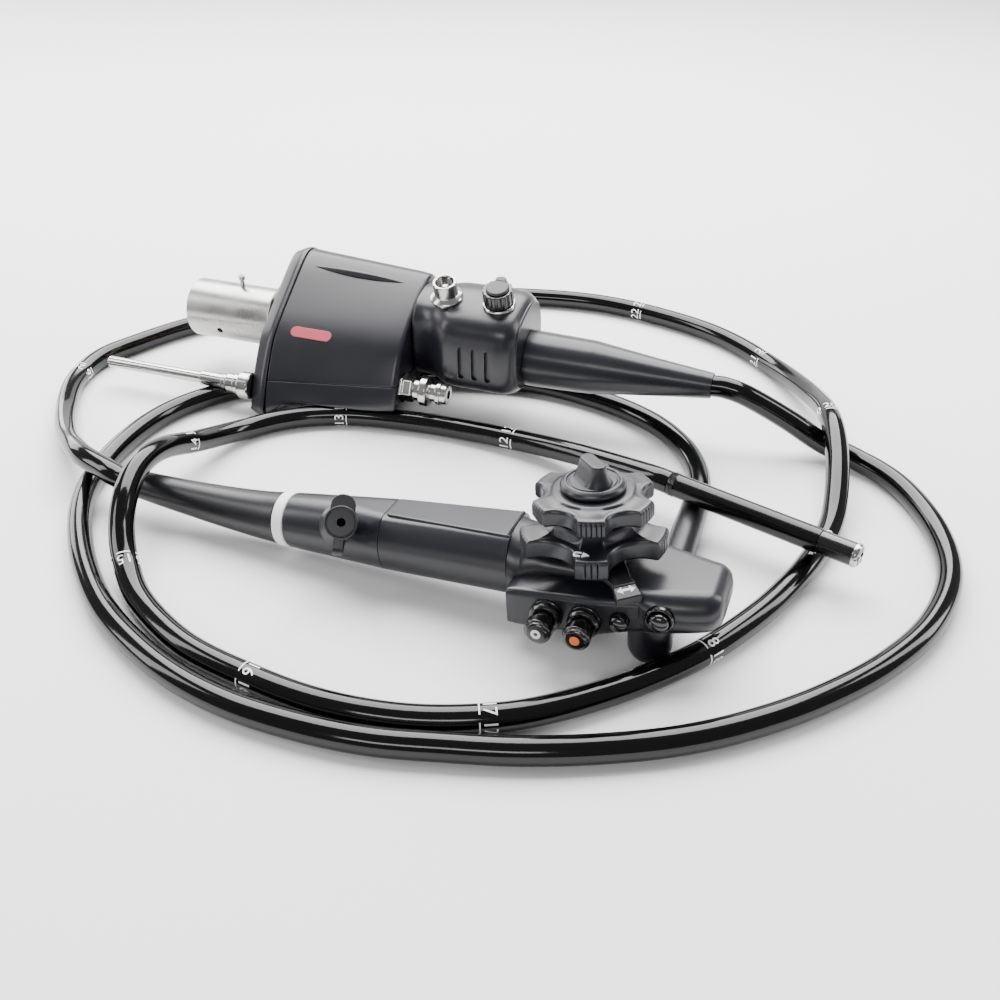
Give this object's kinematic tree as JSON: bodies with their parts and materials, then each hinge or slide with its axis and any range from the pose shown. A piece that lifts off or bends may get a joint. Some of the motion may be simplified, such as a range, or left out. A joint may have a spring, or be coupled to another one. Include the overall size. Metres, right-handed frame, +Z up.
{
  "type": "flexible video endoscope",
  "caption": "Flexible endoscope laid in loops: control body with hand wheels and valves, bending tip section, umbilical cable and light-source connector with a steel barrel.",
  "frame": {"origin": "on the bench, under the centre of the rigid pieces' box", "axes": "+X along the longer side towards the tip, +Y away from the valves' side, +Z up"},
  "size_m": [0.4715, 0.4215, 0.0844],
  "materials": {
    "satin_black": "satin moulded",
    "gloss_black": "polished",
    "rubber_black": "matt",
    "soft_grey": "satin",
    "steel": "turned and brushed",
    "gold_pins": "gold plated",
    "white_ring": "satin",
    "lens": "polished"
  },
  "bodies": {
    "root": {"connector_end_plate": "satin_black", "connector_housing": "satin_black", "connector_base": "satin_black", "barrel_flange": "steel", "electrical_barrel": "steel", "contact_block": "gloss_black", "contact_pins": "gold_pins", "barrel_key_pin": "steel", "light_guide_flange": "steel", "light_guide_rod": "steel", "connector_rear_grip": "satin_black", "vent_port": "steel", "capped_port_ring": "steel", "bottle_fitting_base": "steel", "bottle_fitting_nozzle": "steel", "connector_boot": "gloss_black", "insertion_boot": "rubber_black", "colour_ring": "white_ring", "grip_distal": "satin_black", "grip": "satin_black", "grip_top_panel": "soft_grey", "channel_port": "rubber_black", "biopsy_valve": "rubber_black", "head_housing": "satin_black", "head_cover": "soft_grey", "valve_block": "satin_black", "air_water_valve_collar": "gloss_black", "suction_valve_collar": "gloss_black", "button_bezel": "gloss_black", "control_post": "steel", "umbilical_elbow": "satin_black", "umbilical_boot": "rubber_black", "insertion_tube": "gloss_black", "umbilical_cable": "gloss_black", "bending_base_collar": "steel"},
    "ud_wheel": {"ud_knob": "satin_black", "ud_shaft_and_drum": "steel"},
    "rl_wheel": {"rl_knob": "satin_black", "rl_shaft_and_drum": "steel"},
    "ud_lock": {"ud_lock_lever": "satin_black"},
    "rl_lock": {"rl_lock_knob": "satin_black"},
    "air_water_valve_body": {"air_water_valve": "gloss_black"},
    "suction_valve_body": {"suction_valve": "gloss_black"},
    "image_button_body": {"image_button": "rubber_black"},
    "capture_button_body": {"capture_button": "rubber_black"},
    "port_cap_body": {"port_cap": "rubber_black"},
    "biopsy_lid_body": {"biopsy_lid": "rubber_black"},
    "link_1": {"bending_link_1": "steel"},
    "link_2": {"bending_link_2": "steel"},
    "link_3": {"bending_link_3": "steel"},
    "link_4": {"bending_link_4": "steel"},
    "link_5": {"bending_link_5": "steel"},
    "link_6": {"bending_link_6": "steel"},
    "link_7": {"bending_link_7": "steel"},
    "link_8": {"bending_link_8": "steel"},
    "link_9": {"bending_link_9": "steel"},
    "tip": {"distal_tip": "gloss_black", "objective_lens": "lens", "light_lens_left": "lens", "light_lens_right": "lens"}
  },
  "joints": [
    {"name": "ud_knob_turn", "type": "hinge", "parent": "root", "child": "ud_wheel", "pos_m": [0.07511, -0.112, 0.02937], "axis": [-0.0578, 0.0953, 0.9938], "range_deg": [0, 180]},
    {"name": "rl_knob_turn", "type": "hinge", "parent": "root", "child": "rl_wheel", "pos_m": [0.07511, -0.112, 0.02937], "axis": [-0.0578, 0.0953, 0.9938], "range_deg": [-80, 45]},
    {"name": "ud_lock_turn", "type": "hinge", "parent": "root", "child": "ud_lock", "pos_m": [0.07511, -0.112, 0.02937], "axis": [-0.0578, 0.0953, 0.9938], "range_deg": [-45, 8]},
    {"name": "rl_lock_turn", "type": "hinge", "parent": "root", "child": "rl_lock", "pos_m": [0.07511, -0.112, 0.02937], "axis": [-0.0578, 0.0953, 0.9938], "range_deg": [0, 60]},
    {"name": "air_water_valve_press", "type": "slide", "parent": "root", "child": "air_water_valve_body", "axis": [0.3469, 0.9353, -0.0695], "range_m": [0, 0.0035], "stiffness_N_per_m": 300, "springref_m": -0.001},
    {"name": "suction_valve_press", "type": "slide", "parent": "root", "child": "suction_valve_body", "axis": [0.3469, 0.9353, -0.0695], "range_m": [0, 0.0035], "stiffness_N_per_m": 300, "springref_m": -0.001},
    {"name": "image_button_press", "type": "slide", "parent": "root", "child": "image_button_body", "axis": [0.3469, 0.9353, -0.0695], "range_m": [0, 0.0012], "stiffness_N_per_m": 400, "springref_m": -0.001},
    {"name": "capture_button_press", "type": "slide", "parent": "root", "child": "capture_button_body", "axis": [0.0034, 0.9954, -0.0952], "range_m": [0, 0.0012], "stiffness_N_per_m": 400, "springref_m": -0.001},
    {"name": "port_cap_twist", "type": "hinge", "parent": "root", "child": "port_cap_body", "pos_m": [0.03515, 0.06388, 0.06869], "axis": [-0.0925, -0.2685, 0.9588], "range_deg": [0, 60]},
    {"name": "biopsy_lid_swing", "type": "hinge", "parent": "root", "child": "biopsy_lid_body", "pos_m": [-0.03392, -0.0976, 0.03059], "axis": [0.9869, 0.0107, -0.161], "range_deg": [0, 110]},
    {"name": "bend_1_ud", "type": "hinge", "parent": "root", "child": "link_1", "pos_m": [0.12563, -0.03944, 0.0196], "axis": [-0.6101, -0.7923, 0], "range_deg": [0, 36]},
    {"name": "bend_2_rl", "type": "hinge", "parent": "link_1", "child": "link_2", "pos_m": [0.13118, -0.04371, 0.0196], "axis": [0, 0, 1], "range_deg": [-16, 9]},
    {"name": "bend_3_ud", "type": "hinge", "parent": "link_2", "child": "link_3", "pos_m": [0.13672, -0.04798, 0.0196], "axis": [-0.6101, -0.7923, 0], "range_deg": [0, 36]},
    {"name": "bend_4_rl", "type": "hinge", "parent": "link_3", "child": "link_4", "pos_m": [0.14227, -0.05225, 0.0196], "axis": [0, 0, 1], "range_deg": [-16, 9]},
    {"name": "bend_5_ud", "type": "hinge", "parent": "link_4", "child": "link_5", "pos_m": [0.14782, -0.05652, 0.0196], "axis": [-0.6101, -0.7923, 0], "range_deg": [0, 36]},
    {"name": "bend_6_rl", "type": "hinge", "parent": "link_5", "child": "link_6", "pos_m": [0.15336, -0.0608, 0.0196], "axis": [0, 0, 1], "range_deg": [-16, 9]},
    {"name": "bend_7_ud", "type": "hinge", "parent": "link_6", "child": "link_7", "pos_m": [0.15891, -0.06507, 0.0196], "axis": [-0.6101, -0.7923, 0], "range_deg": [0, 36]},
    {"name": "bend_8_rl", "type": "hinge", "parent": "link_7", "child": "link_8", "pos_m": [0.16445, -0.06934, 0.0196], "axis": [0, 0, 1], "range_deg": [-16, 9]},
    {"name": "bend_9_ud", "type": "hinge", "parent": "link_8", "child": "link_9", "pos_m": [0.17, -0.07361, 0.0196], "axis": [-0.6101, -0.7923, 0], "range_deg": [0, 36]},
    {"name": "bend_10_rl", "type": "hinge", "parent": "link_9", "child": "tip", "pos_m": [0.17555, -0.07788, 0.0196], "axis": [0, 0, 1], "range_deg": [-16, 9]}
  ],
  "couplings": [
    {"joint": "bend_1_ud", "follows": "ud_knob_turn", "ratio": 0.2},
    {"joint": "bend_2_rl", "follows": "rl_knob_turn", "ratio": 0.2},
    {"joint": "bend_3_ud", "follows": "ud_knob_turn", "ratio": 0.2},
    {"joint": "bend_4_rl", "follows": "rl_knob_turn", "ratio": 0.2},
    {"joint": "bend_5_ud", "follows": "ud_knob_turn", "ratio": 0.2},
    {"joint": "bend_6_rl", "follows": "rl_knob_turn", "ratio": 0.2},
    {"joint": "bend_7_ud", "follows": "ud_knob_turn", "ratio": 0.2},
    {"joint": "bend_8_rl", "follows": "rl_knob_turn", "ratio": 0.2},
    {"joint": "bend_9_ud", "follows": "ud_knob_turn", "ratio": 0.2},
    {"joint": "bend_10_rl", "follows": "rl_knob_turn", "ratio": 0.2}
  ]
}
